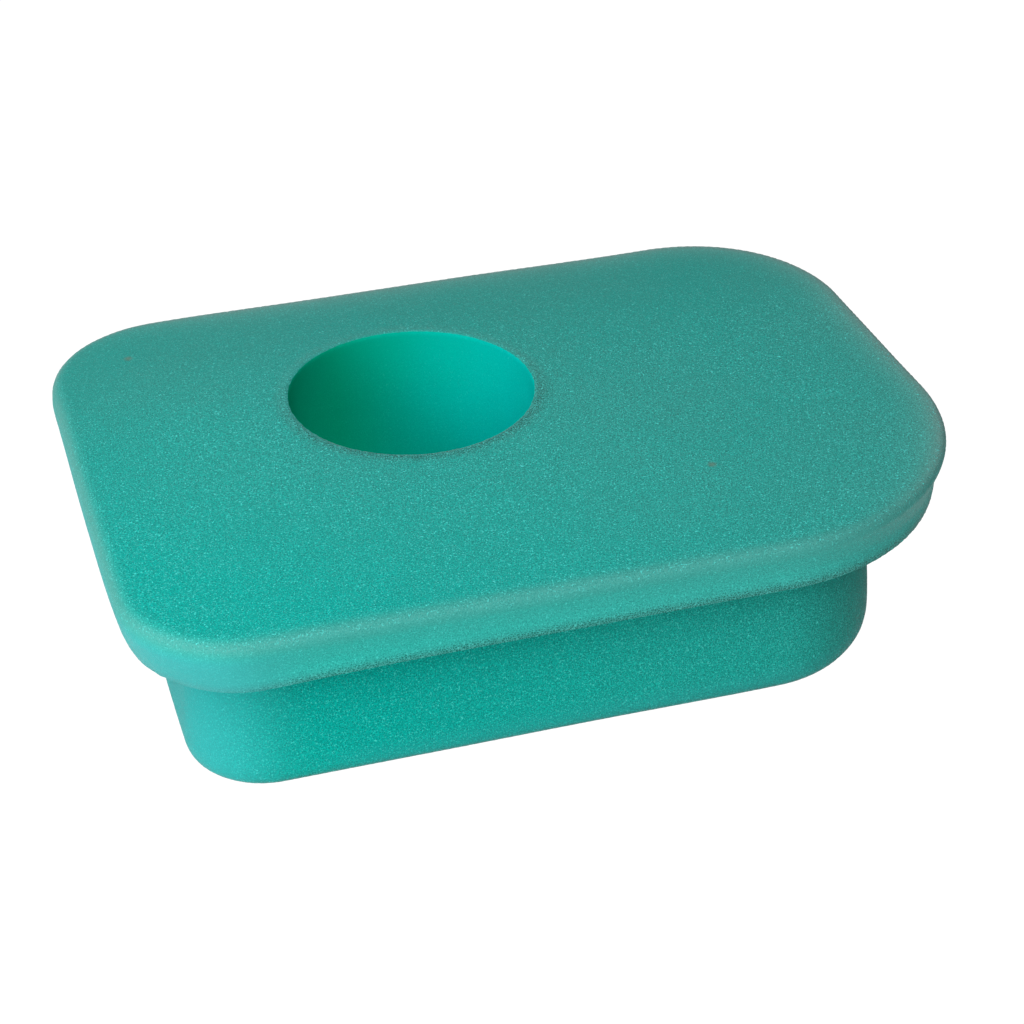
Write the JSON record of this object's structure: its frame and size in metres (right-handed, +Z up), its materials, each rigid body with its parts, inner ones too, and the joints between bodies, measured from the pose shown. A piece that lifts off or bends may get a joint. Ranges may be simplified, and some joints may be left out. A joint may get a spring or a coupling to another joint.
{
  "type": "sponge filter",
  "caption": "Stepped block of open-cell filter foam: a wide, thin flange pad bonded over a narrower plug, with a round pipe bore right through.",
  "frame": {"origin": "middle of the flange's outline, on the plane that the plug stands on", "axes": "+X along the long side, with the bore nearer the -X end; +Y towards the long side that the bore is nearer; +Z up through the plug to the flange"},
  "size_m": [0.172, 0.126, 0.043],
  "materials": {
    "flange_foam": "matt open-cell foam, coarse, freshly cut",
    "plug_foam": "matt open-cell foam, coarse, freshly cut",
    "adhesive": "dried contact adhesive"
  },
  "bodies": {
    "root": {"flange_pad": "flange_foam", "plug_block": "plug_foam", "bond_film": "adhesive"}
  },
  "joints": []
}
